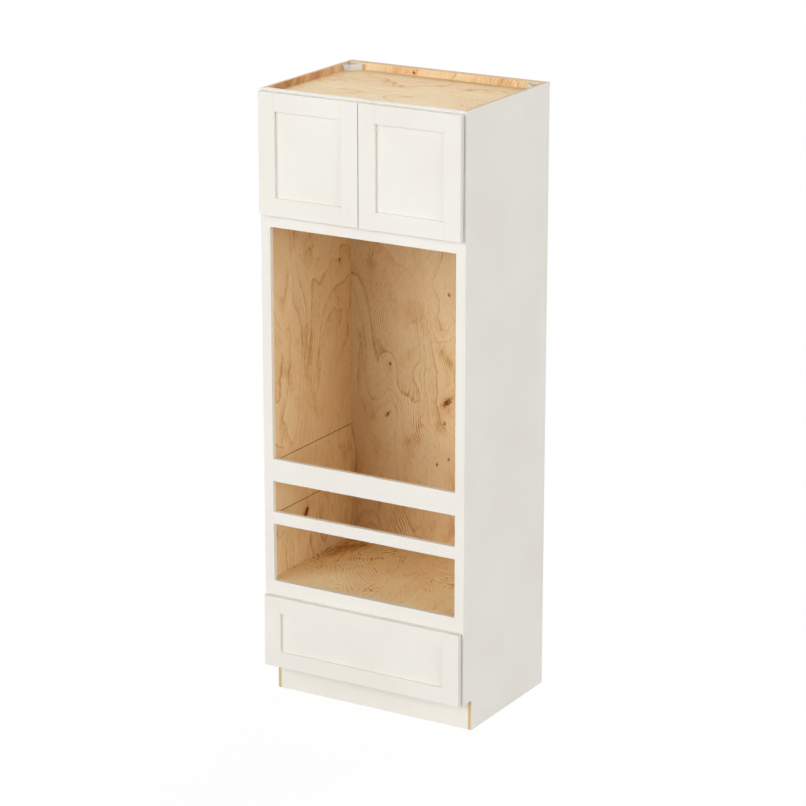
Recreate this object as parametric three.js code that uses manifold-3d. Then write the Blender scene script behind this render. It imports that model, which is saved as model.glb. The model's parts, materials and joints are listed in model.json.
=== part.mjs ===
// Tall oven housing: a face-frame kitchen cabinet with two doors over an open oven cavity, two
// smaller open bays and one deep drawer over a toe kick. Lengths are in millimetres, +Z is up and
// the front faces -Y. Pieces are drawn with x = 0 on the centre line, y = 0 on the face frame's
// front and z = 0 on the floor; doors are drawn about their own hinge pins.
import * as THREE from 'three';
import { mergeVertices } from 'three/addons/utils/BufferGeometryUtils.js';
import Module from 'manifold-3d';

// ---- Driving dimensions ----
const cabinetWidth = 838.2;
const cabinetDepth = 609.6;

// Face frame, from the floor up: each rail, then the opening above it.
const frameThickness = 19.05;
const stileWidth = 38.1;
const toeHeight = 114.3;
const bottomRailHeight = 38.1;
const drawerOpeningHeight = 212.7;
const drawerRailHeight = 85.7;
const lowerOpeningHeight = 220.7;
const middleRailHeight = 46;
const slotOpeningHeight = 117.5;
const ovenRailHeight = 84.9;
const ovenOpeningHeight = 867.6;
const upperRailHeight = 76.2;
const cupboardOpeningHeight = 384.2;
const topRailHeight = 38.1;

// Carcass boards.
const sideThickness = 12.7;
const frameOverhang = 6.35;
const frameGrooveDepth = 4.8;
const dadoDepth = 6.35;
const deckThickness = 12.7;
const deckTongueThickness = 6.35;
const backThickness = 12.7;
const hangRailThickness = 19.05;
const hangRailHeight = 88.9;
const middleHangRailLevel = 1010;
const toeRecess = 69.85;
const toeBoardThickness = 12.7;
const shelfGrooveWidth = 2.4;
const shelfGrooveDepth = 2.4;
const shelfGrooveDrop = 23;

// Doors and drawer front: five-piece frames round a thin panel.
const frontThickness = 20.6;
const frontGap = 3.2;
const frontOverlay = 30.16;
const doorMeetingGap = 3.2;
const frontStileWidth = 66.7;
const doorRailWidth = 66.7;
const drawerFrontRailWidth = 60.3;
const panelRecess = 11.1;
const panelThickness = 6.35;
const panelTongue = 9.5;
const panelEdgeGap = 0.8;
const frontEdgeChamfer = 1;

// Concealed hinges: a cup in the door, and an arm on the frame that turns on the cup's pin.
const hingeEndDistance = 76.2;
const pinInset = 7.2;
const pinDepth = 8;
const pinRadius = 1.2;
const knuckleRadius = 2.2;
const pinClearance = 0.3;
const cupSetback = 20.5;
const cupRadius = 17.5;
const cupDepth = 11.5;
const cupWall = 1;
const cupBoreClearance = 0.3;
const cupFlangeRadius = 18.2;
const cupFlangeThickness = 1.2;
const cupEarSpan = 54;
const cupEarWidth = 11;
const cupEarOffset = 4.5;
const cupNotchDepth = 4;
const cupNotchClearance = 0.6;
const armThickness = 2.6;
const armWidth = 10;
const armElbowRadius = 5;
const armPlateThickness = 1.6;
const armPlateHeight = 44;
const armPlateMargin = 1;
const armPlateScrewSpan = 30;
const screwHoleRadius = 2.2;
const hardwareSeatGap = 0.3;

// Drawer box with dovetailed corners.
const boxSideGap = 5;
const boxBottomGap = 14.3;
const boxHeight = 177.8;
const boxRearGap = 47.65;
const boxWall = 15.9;
const boxBottomThickness = 6.35;
const boxBottomRise = 12.7;
const boxGrooveDepth = 6.35;
const tailCount = 5;
const tailEndWidth = 25;
const tailSlope = 0.15;
const tailRoot = 3;
const dovetailFit = 0.3;

// Undermount slides: fixed rail, carrier and runner on each side.
const slideSheet = 1.2;
const slideRailDrop = 3.2;
const slideRailWidth = 49.4;
const slideRailFlange = 34;
const slideRailLip = 9;
const slideRailInset = 0.6;
const slideRailRearGap = 22.85;
const slideTabWidth = 15;
const carrierOffset = 4;
const carrierWidth = 20;
const carrierHeight = 8;
const carrierFrontGap = 50.95;
const carrierRearGap = 20.2;
const runnerFlangeWidth = 27;
const runnerWebWidth = 11;
const runnerStartGap = 0.5;
const slideRunningGap = 0.4;
const runnerNotchMargin = 3.5;
const socketWall = 5;
const socketPocket = 10;
const socketPocketFit = 0.5;

// Corner braces on the top deck.
const braceLeg = 57;
const braceHeight = 22;
const braceEnd = 12;
const braceWall = 2.5;
const braceHoleInset = 14;

const roundSegments = 40;
const smallRoundSegments = 16;

// How far a cutter runs past the face that it opens.
const cutMargin = 1;

// ---- Levels and places that follow from the dimensions ----
const frameRails = [
  ['bottom', bottomRailHeight, drawerOpeningHeight],
  ['drawer', drawerRailHeight, lowerOpeningHeight],
  ['middle', middleRailHeight, slotOpeningHeight],
  ['oven', ovenRailHeight, ovenOpeningHeight],
  ['upper', upperRailHeight, cupboardOpeningHeight],
  ['top', topRailHeight, 0],
];
const railSpans = {};
let level = toeHeight;
for (const [label, railHeight, openingHeight] of frameRails) {
  railSpans[label] = [level, level + railHeight];
  level += railHeight + openingHeight;
}
const cabinetHeight = level;

const halfWidth = cabinetWidth / 2;
const openingEdge = stileWidth - halfWidth;
const sideOuter = frameOverhang - halfWidth;
const sideInner = sideOuter + sideThickness;
const dadoFloor = sideInner - dadoDepth;
const backRear = cabinetDepth - hangRailThickness;
const backFront = backRear - backThickness;
const frameSpan = [0, frameThickness];
const bottomRailTop = railSpans.bottom[1];
const topDeckLevel = railSpans.top[0] + deckThickness;

// Each deck's top: three are flush with a rail's top, the top deck's underside with the rail's.
const deckTops = {
  base_floor: bottomRailTop,
  oven_deck: railSpans.drawer[1],
  cupboard_floor: railSpans.upper[1],
  top_deck: topDeckLevel,
};
const shelfGrooveLevels = [railSpans.middle[1], railSpans.oven[1]].map((top) => top - shelfGrooveDrop);

// Fronts stand off the frame by the gap; hinge pins lie inside the doors' thickness.
const frontBack = -frontGap;
const pinX = openingEdge - frontOverlay + pinInset;
const pinY = frontBack - pinDepth;

// Drawer box and slides.
const boxOuter = openingEdge + boxSideGap;
const boxInner = boxOuter + boxWall;
const boxFrontInner = frontBack + boxWall;
const boxRear = backFront - boxRearGap;
const boxRearInner = boxRear - boxWall;
const boxSpan = [bottomRailTop + boxBottomGap, bottomRailTop + boxBottomGap + boxHeight];
const boxBottomUnderside = boxSpan[0] + boxBottomRise;
const slideRailBase = boxSpan[0] - slideRailDrop;
const slideRailOuter = openingEdge + slideRailInset;
const slideRailInnerEdge = slideRailOuter + slideRailWidth;
const slideRailEnd = backFront - slideRailRearGap;
const carrierRight = slideRailInnerEdge - carrierOffset;
const carrierMiddle = carrierRight - carrierWidth / 2;
const notchEnd = slideRailInnerEdge + runnerNotchMargin;

// ---- Materials ----
const paint = new THREE.MeshStandardMaterial({ color: 0xf0ede6, roughness: 0.45, metalness: 0 });
const veneer = new THREE.MeshStandardMaterial({ color: 0xd9b98c, roughness: 0.55, metalness: 0 });
const boxWood = new THREE.MeshStandardMaterial({ color: 0xe3c9a0, roughness: 0.5, metalness: 0 });
const steel = new THREE.MeshStandardMaterial({ color: 0xb8babb, roughness: 0.35, metalness: 1 });
const plastic = new THREE.MeshStandardMaterial({ color: 0xe4e2dc, roughness: 0.5, metalness: 0 });

// ---- Solid tools ----
const wasm = await Module();
wasm.setup();

// Moves every vertex of a geometry to the point that place returns for it.
function reshape(geometry, place) {
  const position = geometry.attributes.position;
  for (let i = 0; i < position.count; i++) {
    position.setXYZ(i, ...place(position.getX(i), position.getY(i), position.getZ(i)));
  }
  return geometry;
}

// A box between two values on each axis.
function block(xs, ys, zs) {
  const pick = (span, v) => (v > 0 ? Math.max(...span) : Math.min(...span));
  return reshape(new THREE.BoxGeometry(1, 1, 1), (x, y, z) => [pick(xs, x), pick(ys, y), pick(zs, z)]);
}

// A round bar along Y between two values.
function barAlongY(radius, ys, centreX, centreZ, segments) {
  const bar = new THREE.CylinderGeometry(radius, radius, 1, segments);
  return reshape(bar, (x, y, z) => [centreX + x, y > 0 ? ys[1] : ys[0], centreZ + z]);
}

// A round bar along Z between two values.
function barAlongZ(radius, zs, centreX, centreY, segments) {
  const bar = new THREE.CylinderGeometry(radius, radius, 1, segments);
  return reshape(bar, (x, y, z) => [centreX + z, centreY + x, y > 0 ? zs[1] : zs[0]]);
}

function outline(points) {
  return new THREE.Shape(points.map(([u, v]) => new THREE.Vector2(u, v)));
}

// Profiles pushed along one axis: along X they are drawn in (y, z), along Y in (x, z) and along
// Z in (x, y).
function profileAlongX(shape, xs) {
  const body = new THREE.ExtrudeGeometry(shape, { depth: 1, bevelEnabled: false });
  return reshape(body, (u, v, w) => [w > 0 ? xs[1] : xs[0], u, v]);
}

function profileAlongY(shape, ys) {
  const body = new THREE.ExtrudeGeometry(shape, { depth: 1, bevelEnabled: false });
  return reshape(body, (u, v, w) => [u, w > 0 ? ys[0] : ys[1], v]);
}

function profileAlongZ(shape, zs) {
  const body = new THREE.ExtrudeGeometry(shape, {
    depth: 1, bevelEnabled: false, curveSegments: smallRoundSegments,
  });
  return reshape(body, (u, v, w) => [u, v, w > 0 ? zs[1] : zs[0]]);
}

function toSolid(geometry) {
  const bare = geometry.clone();
  bare.deleteAttribute('normal');
  bare.deleteAttribute('uv');
  const merged = mergeVertices(bare);
  const triVerts = new Uint32Array(merged.index.array);
  return new wasm.Manifold(
    new wasm.Mesh({ numProp: 3, vertProperties: merged.attributes.position.array, triVerts }),
  );
}

function toGeometry(solid) {
  const mesh = solid.getMesh();
  const geometry = new THREE.BufferGeometry();
  geometry.setAttribute('position', new THREE.BufferAttribute(mesh.vertProperties, 3));
  geometry.setIndex(new THREE.BufferAttribute(mesh.triVerts, 1));
  return geometry;
}

function joined(...geometries) {
  return toGeometry(geometries.map(toSolid).reduce((sum, solid) => sum.add(solid)));
}

function cut(geometry, ...cutters) {
  const whole = toSolid(geometry);
  return toGeometry(cutters.map(toSolid).reduce((rest, cutter) => rest.subtract(cutter), whole));
}

function overlapOf(first, second) {
  return toGeometry(toSolid(first).intersect(toSolid(second)));
}

function piece(name, geometry, material) {
  const mesh = new THREE.Mesh(geometry, material);
  mesh.name = name;
  return mesh;
}

// ---- Carcass ----
// The stile's back has a groove that takes the side panel's front edge.
function frameStile() {
  const grooveFloor = frameThickness - frameGrooveDepth;
  const section = outline([
    [-halfWidth, 0],
    [openingEdge, 0],
    [openingEdge, frameThickness],
    [sideInner, frameThickness],
    [sideInner, grooveFloor],
    [sideOuter, grooveFloor],
    [sideOuter, frameThickness],
    [-halfWidth, frameThickness],
  ]);
  return profileAlongZ(section, [toeHeight, cabinetHeight]);
}

function frameRail(label) {
  return block([openingEdge, -openingEdge], frameSpan, railSpans[label]);
}

// Each deck has a tongue along the underside of both ends, which lies in the side panel's dado.
function tongueHeights(top) {
  const underside = top - deckThickness;
  return [underside, underside + deckTongueThickness];
}

// Outline with the toe notch, then dadoes for decks and back, and two narrow shelf grooves.
function sidePanel() {
  const frontEdge = frameThickness - frameGrooveDepth;
  const section = outline([
    [toeRecess, 0],
    [cabinetDepth, 0],
    [cabinetDepth, cabinetHeight],
    [frontEdge, cabinetHeight],
    [frontEdge, toeHeight],
    [toeRecess, toeHeight],
  ]);
  const dadoes = Object.values(deckTops).map((top) =>
    block([dadoFloor, 0], [frameThickness, backFront], tongueHeights(top)));
  const backGroove = block([dadoFloor, 0], [backFront, backRear], [toeHeight, cabinetHeight + cutMargin]);
  const grooves = shelfGrooveLevels.map((mid) => block(
    [sideInner - shelfGrooveDepth, 0],
    [frameThickness, backFront],
    [mid - shelfGrooveWidth / 2, mid + shelfGrooveWidth / 2],
  ));
  return cut(profileAlongX(section, [sideOuter, sideInner]), ...dadoes, backGroove, ...grooves);
}

function deck(top) {
  const [underside, tongueTop] = tongueHeights(top);
  const section = outline([
    [dadoFloor, underside],
    [-dadoFloor, underside],
    [-dadoFloor, tongueTop],
    [-sideInner, tongueTop],
    [-sideInner, top],
    [sideInner, top],
    [sideInner, tongueTop],
    [dadoFloor, tongueTop],
  ]);
  return profileAlongY(section, [frameThickness, backFront]);
}

function backPanel() {
  return block([dadoFloor, -dadoFloor], [backFront, backRear], [toeHeight, cabinetHeight]);
}

function toeBoard() {
  const underside = bottomRailTop - deckThickness;
  return block([sideInner, -sideInner], [toeRecess, toeRecess + toeBoardThickness], [0, underside]);
}

function hangRail(bottom) {
  return block([sideInner, -sideInner], [backRear, cabinetDepth], [bottom, bottom + hangRailHeight]);
}

// The corners of a convex outline moved inwards by a wall.
function inset(points, wall) {
  return points.map((corner, i) => {
    const before = points[(i + points.length - 1) % points.length];
    const after = points[(i + 1) % points.length];
    const into = new THREE.Vector2(corner[0] - before[0], corner[1] - before[1]).normalize();
    const away = new THREE.Vector2(after[0] - corner[0], after[1] - corner[1]).normalize();
    const reach = wall / into.cross(away);
    return [corner[0] + (away.x - into.x) * reach, corner[1] + (away.y - into.y) * reach];
  });
}

// A moulded gusset, open at the top, with a rib from its corner and a screw hole in each pocket.
function cornerBrace() {
  const cornerX = sideInner + hardwareSeatGap;
  const cornerY = backFront - hardwareSeatGap;
  const heights = [topDeckLevel, topDeckLevel + braceHeight];
  const pocketHeights = [topDeckLevel + braceWall, topDeckLevel + braceHeight + cutMargin];
  const corners = [
    [cornerX, cornerY],
    [cornerX, cornerY - braceLeg],
    [cornerX + braceEnd, cornerY - braceLeg],
    [cornerX + braceLeg, cornerY - braceEnd],
    [cornerX + braceLeg, cornerY],
  ];
  const body = profileAlongZ(outline(corners), heights);
  const pocket = profileAlongZ(outline(inset(corners, braceWall)), pocketHeights);
  const half = braceWall / Math.SQRT2;
  const ribSection = outline([
    [cornerX, cornerY - half],
    [cornerX + braceLeg, cornerY - braceLeg - half],
    [cornerX + braceLeg, cornerY - braceLeg + half],
    [cornerX + half, cornerY],
    [cornerX, cornerY],
  ]);
  const rib = overlapOf(body, profileAlongZ(ribSection, heights));
  const holeHeights = [topDeckLevel - cutMargin, pocketHeights[1]];
  const holes = [[braceLeg / 2, braceHoleInset], [braceHoleInset, braceLeg / 2]].map(([x, y]) =>
    barAlongZ(screwHoleRadius, holeHeights, cornerX + x, cornerY - y, smallRoundSegments));
  return cut(joined(cut(body, pocket), rib), ...holes);
}

// ---- Fronts ----
// Sections are drawn with u across the member from its outer edge and v through the thickness.
// A groove in the inner edge takes the panel, and the outer front edge has a small chamfer.
const frontFace = -frontThickness;
const grooveFront = frontFace + panelRecess;
const grooveBack = grooveFront + panelThickness;

function memberSection(width) {
  const grooveFloor = width - panelTongue;
  return [
    [frontEdgeChamfer, frontFace],
    [width, frontFace],
    [width, grooveFront],
    [grooveFloor, grooveFront],
    [grooveFloor, grooveBack],
    [width, grooveBack],
    [width, 0],
    [0, 0],
    [0, frontFace + frontEdgeChamfer],
  ];
}

// Members stand in a frame whose outer edges are given; back is the y of the front's back face.
function frontStile(outerX, inward, back, heights) {
  const points = memberSection(frontStileWidth).map(([u, v]) => [outerX + inward * u, back + v]);
  return profileAlongZ(outline(inward > 0 ? points : points.reverse()), heights);
}

// A rail runs between the stiles, with a stub tenon in each stile's groove.
function frontRail(outerZ, inward, back, railWidth, xs) {
  const points = memberSection(railWidth).map(([u, v]) => [back + v, outerZ + inward * u]);
  const body = profileAlongX(outline(inward > 0 ? points.reverse() : points), xs);
  const tenonHeights = [outerZ, outerZ + inward * (railWidth - panelTongue)];
  const tenonLength = panelTongue - panelEdgeGap;
  const tenon = block(
    [xs[0] - tenonLength, xs[1] + tenonLength],
    [back + grooveFront, back + grooveBack],
    tenonHeights,
  );
  return joined(body, tenon);
}

// The five pieces of a front between outer edges xs and heights; names go with each geometry.
function frontPieces(xs, heights, back, railWidth) {
  const between = [xs[0] + frontStileWidth, xs[1] - frontStileWidth];
  const reach = panelTongue - panelEdgeGap;
  return {
    stileLow: frontStile(xs[0], 1, back, heights),
    stileHigh: frontStile(xs[1], -1, back, heights),
    railBottom: frontRail(heights[0], 1, back, railWidth, between),
    railTop: frontRail(heights[1], -1, back, railWidth, between),
    panel: block(
      [between[0] - reach, between[1] + reach],
      [back + grooveFront, back + grooveBack],
      [heights[0] + railWidth - reach, heights[1] - railWidth + reach],
    ),
  };
}

// ---- Doors and hinges, drawn with the hinge pin at x = 0, y = 0 and the leaf towards +X ----
const doorHeights = [railSpans.upper[1] - frontOverlay, railSpans.top[0] + frontOverlay];
const hingeLevels = {
  lower: doorHeights[0] + hingeEndDistance,
  upper: doorHeights[1] - hingeEndDistance,
};
const cupCentre = cupSetback - pinInset;
const frameFace = pinDepth + frontGap;
const stileEdge = frontOverlay - pinInset;

function cupBore(height) {
  const depth = cupDepth + cupBoreClearance;
  const radius = cupRadius + cupBoreClearance;
  return barAlongY(radius, [pinDepth - depth, pinDepth + cutMargin], cupCentre, height, roundSegments);
}

// A cup with a flange and two screw ears, notched where the arm swings out, and its cross pin.
function hingeCup(height) {
  const floor = pinDepth - cupDepth;
  const rim = pinDepth + cupFlangeThickness;
  const hollow = [floor + cupWall, rim + cutMargin];
  const earX = [cupCentre + cupEarOffset, cupCentre + cupEarOffset + cupEarWidth];
  const earHoles = [-1, 1].map((end) => barAlongY(
    screwHoleRadius,
    [pinDepth - cutMargin, rim + cutMargin],
    cupCentre + cupEarOffset + cupEarWidth / 2,
    height + end * (cupEarSpan - cupEarWidth) / 2,
    smallRoundSegments,
  ));
  const notchHalf = armWidth / 2 + cupNotchClearance;
  const notch = block(
    [cupCentre - cupFlangeRadius - cutMargin, cupCentre],
    [pinDepth - cupNotchDepth, rim + cutMargin],
    [height - notchHalf, height + notchHalf],
  );
  const shell = cut(
    joined(
      barAlongY(cupRadius, [floor, rim], cupCentre, height, roundSegments),
      barAlongY(cupFlangeRadius, [pinDepth, rim], cupCentre, height, roundSegments),
      block(earX, [pinDepth, rim], [height - cupEarSpan / 2, height + cupEarSpan / 2]),
    ),
    barAlongY(cupRadius - cupWall, hollow, cupCentre, height, roundSegments),
    notch,
    ...earHoles,
  );
  const across = [height - cupRadius, height + cupRadius];
  const pin = overlapOf(
    barAlongZ(pinRadius, across, 0, 0, smallRoundSegments),
    barAlongY(cupRadius, [floor, rim], cupCentre, height, roundSegments),
  );
  return joined(shell, pin);
}

// A cranked arm: a knuckle round the pin, a bar through the cup's mouth and a plate on the frame.
function hingeArm(height) {
  const half = armThickness / 2;
  const legLeft = stileEdge + hardwareSeatGap;
  const legRight = legLeft + armThickness;
  const elbow = [legRight - armElbowRadius, armElbowRadius - half];
  const legTop = frameFace + frameThickness / 2;
  const crank = new THREE.Shape();
  crank.moveTo(0, -half);
  crank.lineTo(elbow[0], -half);
  crank.absarc(elbow[0], elbow[1], armElbowRadius, -Math.PI / 2, 0, false);
  crank.lineTo(legRight, legTop);
  crank.lineTo(legLeft, legTop);
  crank.lineTo(legLeft, elbow[1]);
  crank.absarc(elbow[0], elbow[1], armElbowRadius - armThickness, 0, -Math.PI / 2, true);
  crank.lineTo(0, half);
  const width = [height - armWidth / 2, height + armWidth / 2];
  const plateX = [legLeft, legLeft + armPlateThickness];
  const plateY = [frameFace + armPlateMargin, frameFace + frameThickness - armPlateMargin];
  const plate = block(plateX, plateY, [height - armPlateHeight / 2, height + armPlateHeight / 2]);
  const screwHoles = [-1, 1].map((end) => {
    const level = height + end * armPlateScrewSpan / 2;
    const hole = new THREE.CylinderGeometry(screwHoleRadius, screwHoleRadius, 1, smallRoundSegments);
    return reshape(hole, (x, y, z) => [
      y > 0 ? plateX[1] + cutMargin : plateX[0] - cutMargin,
      frameFace + frameThickness / 2 + z,
      level + x,
    ]);
  });
  return cut(
    joined(
      profileAlongZ(crank, width),
      barAlongZ(knuckleRadius, width, 0, 0, smallRoundSegments),
      plate,
    ),
    barAlongZ(
      pinRadius + pinClearance,
      [width[0] - cutMargin, width[1] + cutMargin],
      0,
      0,
      smallRoundSegments,
    ),
    ...screwHoles,
  );
}

function doorLeaf(hand, name) {
  const leaf = new THREE.Group();
  const width = (halfWidth - stileWidth + frontOverlay) - doorMeetingGap / 2;
  const parts = frontPieces([-pinInset, width - pinInset], doorHeights, pinDepth, doorRailWidth);
  const bores = Object.values(hingeLevels).map(cupBore);
  leaf.add(
    piece(`${name}_hinge_stile`, cut(parts.stileLow, ...bores), paint),
    piece(`${name}_meeting_stile`, parts.stileHigh, paint),
    piece(`${name}_rail_bottom`, parts.railBottom, paint),
    piece(`${name}_rail_top`, parts.railTop, paint),
    piece(`${name}_panel`, parts.panel, paint),
  );
  for (const [end, height] of Object.entries(hingeLevels)) {
    leaf.add(piece(`hinge_cup_${hand}_${end}`, hingeCup(height), steel));
  }
  return leaf;
}

function hingeArms(hand) {
  const arms = new THREE.Group();
  for (const [end, height] of Object.entries(hingeLevels)) {
    arms.add(piece(`hinge_arm_${hand}_${end}`, hingeArm(height), steel));
  }
  return arms;
}

// ---- Drawer box ----
// A tail's outline in (y, z): root inside the side, narrow at the baseline and wide at the end.
function tailSection(baseline, end, middle, grow) {
  const outward = Math.sign(end - baseline);
  const wide = tailEndWidth / 2 + grow;
  const narrow = wide - tailSlope * boxWall;
  const points = [
    [baseline - outward * tailRoot, middle - narrow],
    [baseline, middle - narrow],
    [end, middle - wide],
    [end, middle + wide],
    [baseline, middle + narrow],
    [baseline - outward * tailRoot, middle + narrow],
  ];
  return outline(outward > 0 ? points : points.reverse());
}

function tails(baseline, end, xs, grow) {
  const pitch = boxHeight / tailCount;
  return Array.from({ length: tailCount }, (_, i) => {
    const middle = boxSpan[0] + pitch * (i + 0.5);
    return profileAlongX(tailSection(baseline, end, middle, grow), xs);
  });
}

const boxGroove = [boxBottomUnderside, boxBottomUnderside + boxBottomThickness];

// At the rear the lowest tail runs down to the side's lower edge, as the back is notched there.
const heelHeights = [boxSpan[0], boxSpan[0] + boxHeight / tailCount / 2];

function drawerSide() {
  const xs = [boxOuter, boxInner];
  const body = joined(
    block(xs, [boxFrontInner, boxRearInner], boxSpan),
    block(xs, [boxRearInner - tailRoot, boxRear], heelHeights),
    ...tails(boxFrontInner, frontBack, xs, 0),
    ...tails(boxRearInner, boxRear, xs, 0),
  );
  const grooveX = [boxInner - boxGrooveDepth, boxInner + cutMargin];
  return cut(body, block(grooveX, [boxFrontInner, boxRearInner], boxGroove));
}

// The board across an end, with a socket for every tail of both sides.
function drawerEnd(inner, outer) {
  const ys = [Math.min(inner, outer), Math.max(inner, outer)];
  const outward = Math.sign(outer - inner);
  const beyond = outer + outward * cutMargin;
  const pastSide = boxOuter - cutMargin;
  const sockets = [[pastSide, boxInner], [-boxInner, -pastSide]].flatMap((xs) =>
    tails(inner, beyond, xs, dovetailFit));
  const intoBoard = inner + outward * boxGrooveDepth;
  const groove = block([boxInner, -boxInner], [inner, intoBoard], boxGroove);
  return cut(block([boxOuter, -boxOuter], ys, boxSpan), ...sockets, groove);
}

// The back also has a notch over each slide, and gives room to the sides' heels.
function drawerBack() {
  const through = [boxRearInner - cutMargin, boxRear + cutMargin];
  const below = boxSpan[0] - cutMargin;
  const notches = [-1, 1].flatMap((hand) => [
    block([hand * boxInner, hand * notchEnd], through, [below, boxBottomUnderside]),
    block([hand * boxInner, hand * (boxOuter - cutMargin)], through, [below, heelHeights[1]]),
  ]);
  return cut(drawerEnd(boxRearInner, boxRear), ...notches);
}

function drawerBottom() {
  const lengthIn = [boxFrontInner, boxRearInner];
  const lengthOver = [boxFrontInner - boxGrooveDepth, boxRearInner + boxGrooveDepth];
  const grooveX = boxInner - boxGrooveDepth;
  return joined(
    block([grooveX, -grooveX], lengthIn, boxGroove),
    block([boxInner, -boxInner], lengthOver, boxGroove),
  );
}

// ---- Slides, drawn for the left side ----
// The fixed rail is an angle with an inner lip, and a front tab on the back of the stile.
function slideRail() {
  const top = slideRailBase + slideRailFlange;
  const section = outline([
    [slideRailOuter, slideRailBase],
    [slideRailInnerEdge, slideRailBase],
    [slideRailInnerEdge, slideRailBase + slideRailLip],
    [slideRailInnerEdge - slideSheet, slideRailBase + slideRailLip],
    [slideRailInnerEdge - slideSheet, slideRailBase + slideSheet],
    [slideRailOuter + slideSheet, slideRailBase + slideSheet],
    [slideRailOuter + slideSheet, top],
    [slideRailOuter, top],
  ]);
  const tab = block(
    [slideRailOuter - slideTabWidth, slideRailOuter + slideSheet],
    [frameThickness, frameThickness + slideSheet],
    [slideRailBase, top],
  );
  const holes = [1 / 4, 3 / 4].map((share) => barAlongY(
    screwHoleRadius,
    [frameThickness - cutMargin, frameThickness + slideSheet + cutMargin],
    slideRailOuter - slideTabWidth / 2,
    slideRailBase + slideRailFlange * share,
    smallRoundSegments,
  ));
  return cut(joined(profileAlongY(section, [frameThickness, slideRailEnd]), tab), ...holes);
}

// The carrier is a channel, open at the top, that runs on the fixed rail.
const carrierBase = slideRailBase + slideSheet + slideRunningGap;

function slideCarrier() {
  const left = carrierRight - carrierWidth;
  const top = carrierBase + carrierHeight;
  const section = outline([
    [left, carrierBase],
    [carrierRight, carrierBase],
    [carrierRight, top],
    [carrierRight - slideSheet, top],
    [carrierRight - slideSheet, carrierBase + slideSheet],
    [left + slideSheet, carrierBase + slideSheet],
    [left + slideSheet, top],
    [left, top],
  ]);
  return profileAlongY(section, [frameThickness + carrierFrontGap, boxRear - carrierRearGap]);
}

// The runner hangs two webs in the carrier from a flange under the drawer's bottom.
function slideRunner() {
  const flangeTop = boxBottomUnderside - hardwareSeatGap;
  const flangeUnder = flangeTop - slideSheet;
  const webFoot = carrierBase + slideSheet + slideRunningGap;
  const halfFlange = runnerFlangeWidth / 2;
  const halfWeb = runnerWebWidth / 2;
  const section = outline([
    [carrierMiddle - halfFlange, flangeUnder],
    [carrierMiddle - halfWeb, flangeUnder],
    [carrierMiddle - halfWeb, webFoot],
    [carrierMiddle - halfWeb + slideSheet, webFoot],
    [carrierMiddle - halfWeb + slideSheet, flangeUnder],
    [carrierMiddle + halfWeb - slideSheet, flangeUnder],
    [carrierMiddle + halfWeb - slideSheet, webFoot],
    [carrierMiddle + halfWeb, webFoot],
    [carrierMiddle + halfWeb, flangeUnder],
    [carrierMiddle + halfFlange, flangeUnder],
    [carrierMiddle + halfFlange, flangeTop],
    [carrierMiddle - halfFlange, flangeTop],
  ]);
  return profileAlongY(section, [boxFrontInner + runnerStartGap, boxRear]);
}

// A socket on the back panel holds the fixed rail's rear end.
function slideSocket() {
  const ys = [slideRailEnd - socketPocket, backFront];
  const outer = slideRailOuter - socketPocketFit - socketWall;
  const inner = slideRailInnerEdge + socketPocketFit + socketWall;
  const bottom = slideRailBase - socketPocketFit - socketWall;
  const top = slideRailBase + slideRailFlange + socketPocketFit + socketWall;
  const pocket = block(
    [outer + socketWall, inner - socketWall],
    [ys[0] - cutMargin, slideRailEnd + socketPocketFit],
    [bottom + socketWall, top - socketWall],
  );
  return cut(block([outer, inner], ys, [bottom, top]), pocket);
}

// ---- Assembly ----
const hands = [['left', 1], ['right', -1]];

function carcass() {
  const group = new THREE.Group();
  for (const [label] of frameRails) group.add(piece(`frame_rail_${label}`, frameRail(label), paint));
  for (const [name, top] of Object.entries(deckTops)) group.add(piece(name, deck(top), veneer));
  const hangRailBottoms = {
    bottom: toeHeight,
    middle: middleHangRailLevel,
    top: cabinetHeight - hangRailHeight,
  };
  for (const [label, bottom] of Object.entries(hangRailBottoms)) {
    group.add(piece(`hang_rail_${label}`, hangRail(bottom), veneer));
  }
  group.add(piece('back_panel', backPanel(), veneer), piece('toe_board', toeBoard(), paint));
  for (const [hand, mirror] of hands) {
    const half = new THREE.Group();
    half.scale.x = mirror;
    half.add(
      piece(`frame_stile_${hand}`, frameStile(), paint),
      piece(`side_panel_${hand}`, sidePanel(), paint),
      piece(`corner_brace_${hand}`, cornerBrace(), plastic),
      piece(`slide_rail_${hand}`, slideRail(), steel),
      piece(`slide_socket_${hand}`, slideSocket(), plastic),
    );
    group.add(half);
  }
  return group;
}

// Doors and hinge arms stand on their pins; the right-hand set is the left one mirrored.
function doors() {
  const group = new THREE.Group();
  for (const [hand, mirror] of hands) {
    const atPin = new THREE.Group();
    atPin.position.set(mirror * pinX, pinY, 0);
    atPin.scale.x = mirror;
    atPin.add(doorLeaf(hand, `${hand}_door`), hingeArms(hand));
    group.add(atPin);
  }
  return group;
}

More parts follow.
